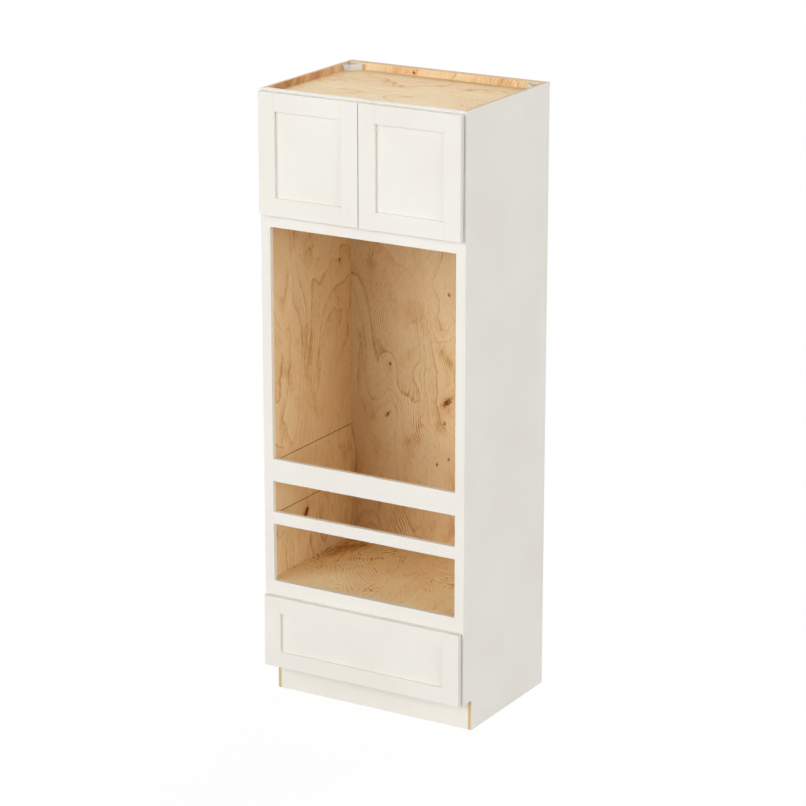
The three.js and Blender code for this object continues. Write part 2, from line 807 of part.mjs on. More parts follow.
function drawer() {
  const group = new THREE.Group();
  const edge = openingEdge - frontOverlay;
  const heights = [bottomRailTop - frontOverlay, railSpans.drawer[0] + frontOverlay];
  const parts = frontPieces([edge, -edge], heights, frontBack, drawerFrontRailWidth);
  group.add(
    piece('drawer_front_stile_left', parts.stileLow, paint),
    piece('drawer_front_stile_right', parts.stileHigh, paint),
    piece('drawer_front_rail_bottom', parts.railBottom, paint),
    piece('drawer_front_rail_top', parts.railTop, paint),
    piece('drawer_front_panel', parts.panel, paint),
    piece('drawer_box_front', drawerEnd(boxFrontInner, frontBack), boxWood),
    piece('drawer_box_back', drawerBack(), boxWood),
    piece('drawer_bottom', drawerBottom(), boxWood),
  );
  for (const [hand, mirror] of hands) {
    const half = new THREE.Group();
    half.scale.x = mirror;
    half.add(
      piece(`drawer_side_${hand}`, drawerSide(), boxWood),
      piece(`slide_runner_${hand}`, slideRunner(), steel),
      piece(`slide_carrier_${hand}`, slideCarrier(), steel),
    );
    group.add(half);
  }
  return group;
}

// The part's origin is at the middle of its footprint, so the frame's front lies behind it.
const ovenHousing = new THREE.Group();
ovenHousing.position.y = (frontGap + frontThickness - cabinetDepth) / 2;
ovenHousing.add(carcass(), doors(), drawer());

export default ovenHousing;
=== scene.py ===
"""A tall oven housing, dressed as in its catalogue picture: painted face frame, doors and drawer
front over a knotty veneered carcass, on a white studio floor. Lengths are in metres."""
import json
import math
import bpy
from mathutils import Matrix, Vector


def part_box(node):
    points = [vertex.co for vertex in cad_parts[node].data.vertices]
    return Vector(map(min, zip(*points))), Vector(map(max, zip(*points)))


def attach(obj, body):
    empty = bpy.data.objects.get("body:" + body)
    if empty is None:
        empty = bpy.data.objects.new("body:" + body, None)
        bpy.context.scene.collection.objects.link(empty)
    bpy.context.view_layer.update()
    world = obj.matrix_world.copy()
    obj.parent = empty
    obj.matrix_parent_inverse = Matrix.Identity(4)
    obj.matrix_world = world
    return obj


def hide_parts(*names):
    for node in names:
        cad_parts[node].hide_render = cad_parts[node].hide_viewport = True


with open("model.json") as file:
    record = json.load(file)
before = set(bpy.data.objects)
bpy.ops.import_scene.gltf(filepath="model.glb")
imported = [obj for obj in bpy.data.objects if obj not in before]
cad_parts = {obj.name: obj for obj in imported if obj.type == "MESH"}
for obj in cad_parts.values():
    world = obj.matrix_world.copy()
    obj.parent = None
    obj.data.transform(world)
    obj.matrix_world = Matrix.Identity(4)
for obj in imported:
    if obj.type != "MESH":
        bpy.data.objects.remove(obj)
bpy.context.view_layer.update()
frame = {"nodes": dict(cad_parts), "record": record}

NODES = frame["nodes"]
RECORD = frame["record"]
BODY_OF = {node: body for body, nodes in RECORD["behaviour"]["bodies"].items() for node in nodes}

# Each hand of the unit, with the direction along x from it towards the middle.
HANDS = (("left", 1), ("right", -1))
BACKWARD = (0, 1, 0)
UPWARD = (0, 0, 1)

# ---- Camera: where it stands and what it looks at ----
CAMERA_PLACE = (5.642, -9.537, 4.496)
CAMERA_HEADING = math.radians(30.63)
CAMERA_DIP = math.radians(16.97)
CAMERA_LENS = 142.4
CAMERA_REACH = 200.0

# ---- Studio ----
WHITE = (1.0, 1.0, 1.0, 1.0)
FLOOR_TONE = (0.68, 0.68, 0.68, 1.0)
FLOOR_SIZE = 160.0

# For rays that see the floor: the share of it that glows, and how strongly.
FLOOR_GLOW = 0.94
FLOOR_LIFT = 1.018
WORLD_LIGHT = 0.2
LAMP_SPREAD = math.radians(50)
LAMP_DISTANCE = 4

# Each lamp's direction and level.
LAMPS = {
    "key": ((0.45, 0.85, -0.17), 0.775),
    "side": ((-0.95, 0.3, -0.1), 0.62),
    "rear": ((0.0, -1.0, -0.5), 0.68),
}

# ---- Edges and faces ----
PAINTED_ARRIS = 0.0006
BOARD_ARRIS = 0.0004
HARDWARE_ARRIS = 0.0002
SHARP_ANGLE = math.radians(35)
ROUNDED_ANGLE = math.radians(40)
FLAT_ANGLE = math.radians(1)
WELD_DISTANCE = 0.000002

# A face looks along an axis where its normal's share of it is above this.
FACING = 0.9

# A side panel's rim lies further than this above or below, or before or behind, its middle.
RIM_RISE = 0.9
RIM_RUN = 0.25

# A groove's floor lies further than this behind the panel's inner face.
GROOVE_STEP = 0.001

# ---- Screws, bumpers and clips ----
SCREW_RADIUS = 0.0036
SCREW_HEIGHT = 0.0012
SCREW_ROUNDING = 0.0009
SCREW_SHANK_RADIUS = 0.0018
SCREW_SHANK_LENGTH = 0.001
CROSS_WIDTH = 0.0009
CROSS_REACH = 0.0021
CROSS_DEPTH = 0.0007
CROSS_LIFT_SHARE = 0.15
STUD_SIDES = 28
CUP_SCREW_INSET = 0.0082
CUP_SCREW_RISE = 0.0215
PLATE_STEP = 0.001
PLATE_SCREW_RISE = 0.015
BRACE_WALL = 0.0025
BRACE_SCREW_NEAR = 0.014
BRACE_SCREW_FAR = 0.0285
SLIDE_TAB_WIDTH = 0.015
SLIDE_SHEET = 0.0012
SLIDE_SCREW_SHARES = (0.25, 0.75)
FRONT_SCREW_SHARES = (0.3, 0.7)
BUMPER_RADIUS = 0.0042
BUMPER_HEIGHT = 0.0021
BUMPER_ROUNDING = 0.0017
BUMPER_INSET = 0.017
CLIP_WIDTH = 0.026
CLIP_LENGTH = 0.04
CLIP_HEIGHT = 0.0115
CLIP_GAP = 0.0015
CLIP_TOP_GAP = 0.0003
CLIP_ROUNDING = 0.0012
CLIP_WALL_SHARE = 0.14
CLIP_HOLLOW_SHARE = 0.55
LEVER_SHARES = (0.3, 0.66, 0.5)
LEVER_DROP_SHARE = 0.16
LEVER_ROUNDING = 0.00096
STAPLE_CROWN = 0.0111
STAPLE_WIRE = 0.0011
STAPLE_HEIGHT_SHARE = 1.3
STAPLE_ROUNDING_SHARE = 0.35
STAPLE_INSET = 0.045
STAPLES_PER_ROW = 7

# ---- Colours ----
def srgb(red, green, blue):
    """A colour given as 0 to 255 on screen, as the linear RGBA that nodes take."""

    def linear(level):
        share = level / 255
        return share / 12.92 if share <= 0.04045 else ((share + 0.055) / 1.055) ** 2.4

    return (linear(red), linear(green), linear(blue), 1.0)


PAINT_WHITE = srgb(241, 238, 230)
PAINT_SHADE = srgb(238, 234, 225)
VENEER_TONES = [
    (0.0, srgb(170, 114, 66)),
    (0.3, srgb(206, 158, 106)),
    (0.6, srgb(234, 201, 151)),
    (1.0, srgb(247, 227, 190)),
]
VENEER_BLUSH = srgb(229, 182, 138)
TOP_TONES = [
    (0.0, srgb(180, 122, 70)),
    (0.3, srgb(216, 167, 112)),
    (0.6, srgb(243, 208, 156)),
    (1.0, srgb(252, 231, 193)),
]
DECK_TONES = [
    (0.0, srgb(186, 134, 82)),
    (0.25, srgb(230, 187, 127)),
    (0.48, srgb(252, 224, 168)),
    (1.0, srgb(254, 241, 205)),
]
DRAWER_TONES = [
    (0.0, srgb(207, 172, 128)),
    (0.4, srgb(226, 197, 156)),
    (1.0, srgb(239, 219, 186)),
]
KNOT_HEART = srgb(106, 42, 6)
KNOT_HALO = srgb(196, 106, 38)
PLY_LIGHT = srgb(236, 211, 172)
PLY_DARK = srgb(196, 154, 108)
END_GRAIN = srgb(196, 156, 112)
# Painted shade for the walls and floor of the grooves.
GROOVE_SHADE_BROWN = srgb(142, 86, 50)
GROOVE_SHADE_DARK = srgb(88, 48, 26)
STEEL_GREY = srgb(196, 198, 199)
STEEL_DARK = srgb(168, 170, 172)
PLASTIC_WHITE = srgb(229, 227, 221)
PLASTIC_SHADE = srgb(214, 212, 205)
RUBBER_CLEAR = srgb(206, 208, 206)


# ---- Shader maths ----
class Value:
    """What varies over a surface: one node's output, with arithmetic for numbers."""

    def __init__(self, graph, socket):
        self.graph = graph
        self.socket = socket

    def _math(self, operation, first, second):
        return self.graph.node("ShaderNodeMath", {"operation": operation}, {0: first, 1: second})

    def __add__(self, other):
        return self._math("ADD", self, other)

    def __radd__(self, other):
        return self._math("ADD", other, self)

    def __sub__(self, other):
        return self._math("SUBTRACT", self, other)

    def __rsub__(self, other):
        return self._math("SUBTRACT", other, self)

    def __mul__(self, other):
        return self._math("MULTIPLY", self, other)

    def __rmul__(self, other):
        return self._math("MULTIPLY", other, self)

    def __pow__(self, other):
        return self._math("POWER", self, other)

    def __rpow__(self, other):
        return self._math("POWER", other, self)


class Graph:
    """The nodes of one material or world."""

    def __init__(self, owner):
        owner.use_nodes = True
        self.owner = owner
        self.tree = owner.node_tree

    def node(self, kind, settings=None, inputs=None, output=0):
        made = self.tree.nodes.new(kind)
        for name, setting in (settings or {}).items():
            if name == "stops":
                self._set_stops(made.color_ramp, setting)
            else:
                setattr(made, name, setting)
        for name, value in (inputs or {}).items():
            self.feed(made.inputs[name], value)
        return Value(self, made.outputs[output])

    def feed(self, socket, value):
        if isinstance(value, Value):
            self.tree.links.new(value.socket, socket)
        else:
            socket.default_value = value

    def _set_stops(self, ramp, stops):
        while len(ramp.elements) < len(stops):
            ramp.elements.new(1.0)
        for element, (position, colour) in zip(ramp.elements, stops):
            element.position = position
            element.color = colour

    def coordinates(self):
        """Where a point lies on its own object, as one value for each axis."""
        place = self.node("ShaderNodeTexCoord", output="Object")
        return {
            axis.lower(): self.node("ShaderNodeSeparateXYZ", None, {0: place}, output=axis)
            for axis in "XYZ"
        }

    def noise(self, first, second, third=0.0, detail=2.0, roughness=0.5):
        place = self.node("ShaderNodeCombineXYZ", None, {0: first, 1: second, 2: third})
        inputs = {"Vector": place, "Scale": 1.0, "Detail": detail, "Roughness": roughness}
        return self.node("ShaderNodeTexNoise", None, inputs, output="Fac")

    def between(self, value, low, high):
        """0 below low and 1 above high, with a smooth step between them."""
        inputs = {"Value": value, "From Min": low, "From Max": high}
        return self.node("ShaderNodeMapRange", {"interpolation_type": "SMOOTHSTEP"}, inputs)

    def sine(self, value):
        return self.node("ShaderNodeMath", {"operation": "SINE"}, {0: value})

    def ramp(self, value, stops):
        return self.node("ShaderNodeValToRGB", {"stops": stops}, {"Fac": value})

    def mix(self, share, first, second):
        """A colour between two others; the Mix node's colour sockets are its sixth and seventh."""
        inputs = {0: share, 6: first, 7: second}
        return self.node("ShaderNodeMix", {"data_type": "RGBA"}, inputs, output=2)

    def seen_rays(self):
        """1 for rays that show the background itself, straight, mirrored or through glass."""
        camera = self.node("ShaderNodeLightPath", output="Is Camera Ray")
        glossy = self.node("ShaderNodeLightPath", output="Is Glossy Ray")
        through = self.node("ShaderNodeLightPath", output="Is Transmission Ray")
        clamped = {"operation": "ADD", "use_clamp": True}
        return self.node("ShaderNodeMath", clamped, {0: camera + glossy, 1: through})

    def bump(self, height, strength, distance):
        return self.node(
            "ShaderNodeBump", None, {"Height": height, "Strength": strength, "Distance": distance}
        )


SOCKETS = {
    "base_color": "Base Color",
    "metallic": "Metallic",
    "roughness": "Roughness",
    "specular": "Specular IOR Level",
    "normal": "Normal",
}


class Finish(Graph):
    """A material that is a single principled surface."""

    def __init__(self, name):
        super().__init__(bpy.data.materials.new(name))
        self.shader = self.tree.nodes["Principled BSDF"]

    def set(self, **values):
        """Feeds sockets of the surface and hands back the material."""
        for name, value in values.items():
            self.feed(self.shader.inputs[SOCKETS[name]], value)
        return self.owner


# ---- Veneer figure ----
# How many growth lines the flow, a metre across the grain and the drift each bring.
FLOW_LINES = 18.0
ACROSS_LINES = 7.0
DRIFT_LINES = 2.0

# Lines bend round a knot over some of its radii, and bunch together in threes.
KNOT_REACH = 5.0
KNOT_LIFT = 0.7
KNOT_SQUEEZE = 0.45
BUNCH_LINES = 3
BUNCH_PULL = 0.34

# How fast the fine grain's direction turns, at rest and for each step of rippled.
COURSE_TURNS = 40.0
RIPPLED_TURNS = 20.0

# Where bare wood lies between dark, 0, and pale, 1, and how far each mark takes it down.
BARE_DEPTH = 0.9
LINE_DEPTH = 0.25
SHADE_DEPTH = 0.15
POOL_AND_SHADE_DEPTH = 0.26
BROAD_DEPTH = 0.5
GRAIN_DEPTH = 0.22
GRAIN_LEAST = 0.03
FIBRE_DEPTH = 0.14
RIPPLE_DEPTH = 0.52
FLECK_DEPTH = 0.22

# How much of the blush, a knot's halo and its heart covers the wood.
BLUSH_SHARE = 0.35
HALO_SHARE = 0.75
HEART_SHARE = 0.92


# ---- Finishes ----
def sprayed_paint():
    """Warm white satin lacquer: nearly even, with a faint orange-peel surface."""
    finish = Finish("warm_white_lacquer")
    at = finish.coordinates()
    across = at["x"] + at["y"]
    cloud = finish.noise(across * 3.0, at["z"] * 3.0, detail=3.0)
    peel = finish.noise(across * 420.0, at["z"] * 420.0, at["y"] * 420.0, detail=1.0)
    return finish.set(
        base_color=finish.mix(finish.between(cloud, 0.35, 0.7), PAINT_WHITE, PAINT_SHADE),
        roughness=0.38 + 0.08 * cloud,
        normal=finish.bump(peel, 0.04, 0.0003),
    )


def knot_pull(across, along, knot):
    """A bell round a knot, a little longer along the grain."""
    centre_across, centre_along, radius, slant = knot
    off_along = along - centre_along
    off_across = across - centre_across - off_along * slant
    squared = off_across * off_across + off_along * off_along * KNOT_SQUEEZE
    return math.e ** (squared * (-1 / radius**2))


def veneer(
    name, axes, knots=(), stains_and_shade=(), tones=None, seed=0.0, pitch=150.0, rippled=1.0, speckle=1.0
):
    """Rotary-cut veneer: bunches of wandering growth lines, soft brown patches, fine grain whose
    direction turns slowly, small brown knots and wider marks, of which some are stained spots and
    some painted shade. The axes lie across and along the grain, and the pitch is the fine grain's
    lines for each metre across. Rippled strengthens that grain, and speckle the short marks in it."""
    finish = Finish(name)
    at = finish.coordinates()
    across = at[axes[0]]
    along = at[axes[1]]
    drift = finish.noise(across * 9.0, along * 5.5, seed + 3.0, detail=2.0, roughness=0.45) - 0.5
    flow = finish.noise(across * 2.8 + drift * 0.3, along * 0.85 + drift * 0.12, seed, detail=1.0)
    growth = flow * FLOW_LINES + across * ACROSS_LINES + drift * DRIFT_LINES
    for place, height, radius, slant in knots:
        wide_knot = (place, height, radius * KNOT_REACH, slant)
        growth = growth + knot_pull(across, along, wide_knot) * KNOT_LIFT
    growth = growth + finish.sine(growth * (math.tau / BUNCH_LINES)) * BUNCH_PULL
    turn = finish.node("ShaderNodeMath", {"operation": "FRACT"}, {0: growth})
    crisp = 1.0 - finish.between(turn, 0.95, 1.0)
    line = finish.between(turn, 0.78, 0.94) * crisp
    shade = finish.between(turn, 0.1, 0.97) * crisp
    patchy = finish.noise(across * 6.0, along * 3.0, seed + 13.0, detail=2.0)
    strength = finish.between(patchy, 0.3, 0.66)
    clouds = finish.noise(across * 12.0, along * 7.0 + drift * 2.0, seed + 19.0, detail=3.0)
    pools_and_shade = finish.between(clouds, 0.5, 0.76)
    # Each wider mark deepens the brown patches: some are stained spots, some are painted shade.
    for stain_or_shade in stains_and_shade:
        pools_and_shade = pools_and_shade + knot_pull(across, along, stain_or_shade) * (clouds * 1.2 + 0.35)
    course = finish.noise(across * 1.6, along * 1.5, seed + 29.0, detail=0.5)
    course = course * (COURSE_TURNS + rippled * RIPPLED_TURNS)
    grain = finish.sine((across * pitch + course + drift * 8.0) * math.tau)
    faint = finish.between(finish.noise(across * 5.0, along * 3.4, seed + 31.0), 0.46, 0.66)
    fibre = finish.noise(across * 520.0, along * 9.0, seed + 7.0, detail=2.0)
    leaning = across * pitch + course
    ripple = finish.noise(leaning * 1.3, along * 40.0, seed + 5.0, detail=3.0, roughness=0.62) - 0.5
    fleck = finish.between(finish.noise(leaning * 1.7, along * 70.0, seed + 9.0), 0.62, 0.74)
    broad = finish.noise(across * 3.4, along * 0.9, seed + 11.0, detail=3.0) - 0.5
    lines = (line * LINE_DEPTH + shade * SHADE_DEPTH) * (strength * 0.8 + 0.2)
    texture = grain * (faint * GRAIN_DEPTH + GRAIN_LEAST * rippled) * rippled + fibre * FIBRE_DEPTH
    texture = texture + (ripple * RIPPLE_DEPTH + fleck * FLECK_DEPTH) * speckle
    depth = BARE_DEPTH - lines - pools_and_shade * POOL_AND_SHADE_DEPTH - broad * BROAD_DEPTH - texture
    warm = finish.noise(across * 4.0, along * 2.2, seed + 23.0, detail=2.0)
    colour = finish.ramp(depth, tones or VENEER_TONES)
    colour = finish.mix(finish.between(warm, 0.42, 0.75) * BLUSH_SHARE, colour, VENEER_BLUSH)
    if knots:
        halo = sum(knot_pull(across, along, knot) for knot in knots)
        ragged = finish.noise(across * 210.0, along * 150.0, seed + 17.0, detail=3.0)
        heart = finish.between(halo * 0.5 + ragged, 0.86, 0.98) * finish.between(halo, 0.1, 0.4)
        burnt = finish.between(halo * 0.5 + ragged, 0.6, 0.95) * finish.between(halo, 0.04, 0.5)
        colour = finish.mix(burnt * HALO_SHARE, colour, KNOT_HALO)
        colour = finish.mix(heart * HEART_SHARE, colour, KNOT_HEART)
    return finish.set(
        base_color=colour,
        roughness=0.46 + fibre * 0.18,
        specular=0.2,
        normal=finish.bump(fibre - fleck * 0.5 + ripple, 0.12, 0.0003),
    )


def solid_hardwood(name, across_axis, along_axis, seed=0.0):
    """Pale hardwood with straight grain under a satin finish."""
    finish = Finish(name)
    at = finish.coordinates()
    across = at[across_axis]
    along = at[along_axis]
    drift = finish.noise(across * 5.0, along * 1.2, seed, detail=2.0)
    wave = finish.sine((across * 34.0 + drift * 5.0) * math.tau) * 0.5 + 0.5
    fibre = finish.noise(across * 600.0, along * 12.0, seed + 2.0, detail=2.0)
    depth = 0.9 - wave**2 * 0.3 - (drift - 0.5) * 0.5 - fibre * 0.25
    return finish.set(
        base_color=finish.ramp(depth, DRAWER_TONES),
        roughness=0.38 + fibre * 0.14,
        normal=finish.bump(fibre, 0.1, 0.0002),
    )


def end_grain():
    """The cut ends of drawer boards: darker, with short pores."""
    finish = Finish("hardwood_end_grain")
    at = finish.coordinates()
    rings = finish.sine((at["z"] * 60.0 + finish.noise(at["x"] * 40.0, at["z"] * 9.0)) * math.tau)
    pores = finish.noise(at["x"] * 1400.0, at["z"] * 1400.0, at["y"] * 1400.0, detail=1.0)
    shade = 0.35 + rings * 0.12 + pores * 0.4
    return finish.set(
        base_color=finish.mix(shade, PLY_LIGHT, END_GRAIN),
        roughness=0.6 + pores * 0.15,
        normal=finish.bump(pores, 0.15, 0.0002),
    )


def groove_shade_finish():
    """The walls and floor of a sawn groove, painted with shade: brown, darker in streaks."""
    finish = Finish("scorched_saw_cut")
    at = finish.coordinates()
    streak = finish.noise(at["y"] * 26.0, at["z"] * 700.0, at["x"] * 700.0, detail=2.0)
    return finish.set(
        base_color=finish.mix(finish.between(streak, 0.3, 0.7), GROOVE_SHADE_BROWN, GROOVE_SHADE_DARK),
        roughness=0.7 + streak * 0.15,
        normal=finish.bump(streak, 0.2, 0.0002),
    )


def ply_edge(name, thickness_axis):
    """A sawn plywood edge: thin plies, by turns pale long grain and darker end grain."""
    finish = Finish(name)
    at = finish.coordinates()
    runs = {"x": ("y", "z"), "y": ("x", "z"), "z": ("x", "y")}[thickness_axis]
    along = at[runs[0]] + at[runs[1]]
    waver = finish.noise(along * 12.0, at[thickness_axis] * 30.0)
    plies = finish.sine((at[thickness_axis] * 352.0 + waver * 0.3) * math.tau)
    speck = finish.noise(along * 500.0, at[thickness_axis] * 900.0, detail=2.0)
    shade = finish.between(plies, -0.5, 0.5) * 0.6 + speck * 0.35
    return finish.set(
        base_color=finish.mix(shade, PLY_LIGHT, PLY_DARK),
        roughness=0.62 + speck * 0.15,
        normal=finish.bump(speck, 0.2, 0.0002),
    )


def plated_steel():
    """Zinc-plated sheet with a fine rolled streak."""
    finish = Finish("zinc_plated_steel")
    at = finish.coordinates()
    streak = finish.noise(at["x"] * 900.0, at["y"] * 60.0, at["z"] * 900.0, detail=2.0)
    bloom = finish.noise(at["x"] * 60.0, at["y"] * 60.0, at["z"] * 60.0, detail=3.0)
    return finish.set(
        base_color=finish.mix(finish.between(bloom, 0.35, 0.7), STEEL_GREY, STEEL_DARK),
        metallic=1.0,
        roughness=0.26 + streak * 0.2 + bloom * 0.08,
        normal=finish.bump(streak, 0.05, 0.0001),
    )


def moulded_plastic():
    """Matt white moulding with a fine spark-eroded texture."""
    finish = Finish("white_moulding")
    at = finish.coordinates()
    grain = finish.noise(at["x"] * 1600.0, at["y"] * 1600.0, at["z"] * 1600.0, detail=2.0)
    cloud = finish.noise(at["x"] * 50.0, at["y"] * 50.0, at["z"] * 50.0)
    return finish.set(
        base_color=finish.mix(finish.between(cloud, 0.35, 0.7), PLASTIC_WHITE, PLASTIC_SHADE),
        roughness=0.48 + grain * 0.15,
        normal=finish.bump(grain, 0.1, 0.0001),
    )


def soft_rubber():
    """Milky bumper rubber."""
    finish = Finish("milky_rubber")
    at = finish.coordinates()
    cloud = finish.noise(at["x"] * 700.0, at["y"] * 700.0, at["z"] * 700.0)
    return finish.set(
        base_color=finish.mix(cloud, RUBBER_CLEAR, PLASTIC_WHITE),
        roughness=0.32 + cloud * 0.1,
        normal=finish.bump(cloud, 0.05, 0.0001),
    )


# ---- Modelling tools ----
def only(piece):
    """Leaves one piece selected and active."""
    bpy.ops.object.select_all(action="DESELECT")
    piece.select_set(True)
    bpy.context.view_layer.objects.active = piece


def edit(piece):
    """Opens one piece for editing."""
    only(piece)
    bpy.ops.object.mode_set(mode="EDIT")


def leave_edit():
    bpy.ops.object.mode_set(mode="OBJECT")


def ease_edges(piece, width, segments=2):
    """Rounds every edge that turns by more than a gentle angle."""
    only(piece)
    bpy.ops.object.shade_smooth()
    bevel = piece.modifiers.new("eased_edges", "BEVEL")
    bevel.width = width
    bevel.segments = segments
    bevel.limit_method = "ANGLE"
    bevel.angle_limit = SHARP_ANGLE
    bevel.use_clamp_overlap = True
    bpy.ops.object.modifier_apply(modifier=bevel.name)
    even = piece.modifiers.new("even_shading", "WEIGHTED_NORMAL")
    even.mode = "FACE_AREA"
    even.weight = 100
    bpy.ops.object.modifier_apply(modifier=even.name)


def settle(piece):
    """Moves a piece's place, turn and size into its mesh."""
    only(piece)
    bpy.ops.object.transform_apply(location=True, rotation=True, scale=True)
    return piece


def dress(node, finishes, arris, pick=None):
    """An eased copy of a CAD node, in its place. pick gives each face the number of its finish."""
    piece = bpy.data.objects.new(f"{node}_finished", NODES[node].data.copy())
    bpy.context.collection.objects.link(piece)
    edit(piece)
    bpy.ops.mesh.select_all(action="SELECT")
    bpy.ops.mesh.remove_doubles(threshold=WELD_DISTANCE)
    bpy.ops.mesh.dissolve_limited(angle_limit=FLAT_ANGLE)
    leave_edit()
    bpy.ops.mesh.customdata_custom_splitnormals_clear()
    piece.data.materials.clear()
    for finish in finishes:
        piece.data.materials.append(finish)
    if pick:
        for face in piece.data.polygons:
            face.material_index = pick(face)
    ease_edges(piece, arris)
    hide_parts(node)
    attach(piece, BODY_OF[node])
    return piece


def select_faces(piece, chosen):
    """Selects the faces that a test picks, and no others, and stays in edit mode."""
    edit(piece)
    bpy.ops.mesh.select_mode(type="FACE")
    bpy.ops.mesh.select_all(action="DESELECT")
    leave_edit()
    for face in piece.data.polygons:
        face.select = chosen(face)
    bpy.ops.object.mode_set(mode="EDIT")


def carve(piece, cutter):
    """Takes a cutter out of a piece."""
    only(piece)
    hollow = piece.modifiers.new("hollow", "BOOLEAN")
    hollow.operation = "DIFFERENCE"
    hollow.object = cutter
    bpy.ops.object.modifier_apply(modifier=hollow.name)
    bpy.data.objects.remove(cutter)


def block(name, size, middle):
    """A box of a size about a point, with its place in its mesh."""
    bpy.ops.object.select_all(action="DESELECT")
    bpy.ops.mesh.primitive_cube_add(size=1.0, location=middle, scale=size)
    made = bpy.context.object
    made.name = name
    return settle(made)


def stud(name, radius, height):
    """A short round stud that stands on the origin."""
    bpy.ops.object.select_all(action="DESELECT")
    bpy.ops.mesh.primitive_cylinder_add(
        vertices=STUD_SIDES, radius=radius, depth=height, location=(0, 0, height / 2)
    )
    made = bpy.context.object
    made.name = name
    return settle(made)


def round_top(piece, rounding, segments):
    select_faces(piece, lambda face: face.normal.z > FACING)
    bpy.ops.mesh.bevel(offset=rounding, segments=segments, affect="EDGES")
    leave_edit()


def side_of(corners, way):
    """The x of a box's right side where way is 1, and of its left side where it is -1."""
    low, high = corners
    return high.x if way > 0 else low.x


# ---- Pieces dressed from the solids ----
def named(start):
    """The nodes whose names start alike."""
    return [node for node in NODES if node.startswith(start)]


def paint_fronts_and_frame(paint):
    painted = named("frame_") + named("toe_") + named("drawer_front_")
    painted += named("left_door_") + named("right_door_")
    for node in painted:
        dress(node, [paint], PAINTED_ARRIS)


def finish_side_panels(paint, walls, edge, cut):
    """Painted outside, veneered inside, raw plywood at the edges and painted shade in the grooves.
    """
    for hand, inward in HANDS:
        low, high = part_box(f"side_panel_{hand}")
        middle = (low + high) / 2
        inner = side_of((low, high), inward)

        def side_face(face, inward=inward, middle=middle, inner=inner):
            if abs(face.normal.x) > FACING:
                if face.normal.x * inward < 0:
                    return 0
                # Faces inside a groove take the painted shade.
                return 3 if abs(face.center.x - inner) > GROOVE_STEP else 1
            off = face.center - middle
            return 2 if abs(off.z) > RIM_RISE or abs(off.y) > RIM_RUN else 3

        dress(f"side_panel_{hand}", [paint, walls[hand], edge, cut], BOARD_ARRIS, side_face)


def finish_boards(nodes, face_finish, edge_finish, axis):
    """Boards with veneered faces across one axis and raw edges all round."""

    def board_face(face):
        return 0 if abs(face.normal[axis]) > FACING else 1

    for node in nodes:
        dress(node, [face_finish, edge_finish], BOARD_ARRIS, board_face)


def finish_drawer_box(side_wood, end_wood, cut_ends, bottom_veneer, edge):
    """Sides and ends of straight-grained boards with bare end grain, and a veneered bottom."""

    def ends_across_y(face):
        return 1 if abs(face.normal.y) > FACING else 0

    def ends_across_x(face):
        return 1 if abs(face.normal.x) > FACING else 0

    for node in named("drawer_side_"):
        dress(node, [side_wood, cut_ends], BOARD_ARRIS, ends_across_y)
    for node in named("drawer_box_"):
        dress(node, [end_wood, cut_ends], BOARD_ARRIS, ends_across_x)
    finish_boards(["drawer_bottom"], bottom_veneer, edge, 2)


def finish_hardware(steel, plastic):
    steel_nodes = named("hinge_") + named("slide_rail") + named("slide_runner")
    for node in steel_nodes + named("slide_carrier"):
        dress(node, [steel], HARDWARE_ARRIS)
    for node in named("corner_brace_") + named("slide_socket_"):
        dress(node, [plastic], HARDWARE_ARRIS)


# ---- Hardware that the solids leave out ----
def screw_pattern():
    """A pan-head screw with a cross recess, on the origin and facing up."""
    screw = stud("screw_pattern", SCREW_RADIUS, SCREW_HEIGHT)
    round_top(screw, SCREW_ROUNDING, 4)
    select_faces(screw, lambda face: face.normal.z < -FACING)
    bpy.ops.mesh.inset(thickness=SCREW_RADIUS - SCREW_SHANK_RADIUS)
    bpy.ops.mesh.extrude_region_move(TRANSFORM_OT_translate={"value": (0, 0, -SCREW_SHANK_LENGTH)})
    leave_edit()
    middle = (0, 0, SCREW_HEIGHT + CROSS_DEPTH * CROSS_LIFT_SHARE)
    arms = ((CROSS_WIDTH, CROSS_REACH * 2), (CROSS_REACH * 2, CROSS_WIDTH))
    for number, arm in enumerate(arms):
        carve(screw, block(f"cross_{number}", (*arm, CROSS_DEPTH * 2), middle))
    only(screw)
    bpy.ops.object.shade_smooth_by_angle(angle=SHARP_ANGLE)
    return screw


def bumper_pattern():
    """A domed stick-on bumper, on the origin and facing up."""
    bumper = stud("bumper_pattern", BUMPER_RADIUS, BUMPER_HEIGHT)
    round_top(bumper, BUMPER_ROUNDING, 6)
    only(bumper)
    bpy.ops.object.shade_smooth_by_angle(angle=ROUNDED_ANGLE)
    return bumper


def staple_pattern():
    """The crown of a staple, lying along x on the origin, with its lower half in the board."""
    size = (STAPLE_CROWN, STAPLE_WIRE * STAPLE_HEIGHT_SHARE, STAPLE_WIRE)
    staple = block("staple_pattern", size, (0, 0, 0))
    edit(staple)
    bpy.ops.mesh.select_all(action="SELECT")
    bpy.ops.mesh.bevel(offset=STAPLE_WIRE * STAPLE_ROUNDING_SHARE, segments=3, affect="EDGES")
    leave_edit()
    only(staple)
    bpy.ops.object.shade_smooth_by_angle(angle=ROUNDED_ANGLE)
    return staple


def plant(pattern, name, seat, facing, finish, body):
    """A copy of a pattern, set on a seat and turned to face a direction."""
    piece = bpy.data.objects.new(name, pattern.data.copy())
    bpy.context.collection.objects.link(piece)
    piece.location = seat
    piece.rotation_mode = "QUATERNION"
    piece.rotation_quaternion = Vector(facing).to_track_quat("Z", "Y")
    settle(piece)
    piece.data.materials.clear()
    piece.data.materials.append(finish)
    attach(piece, body)


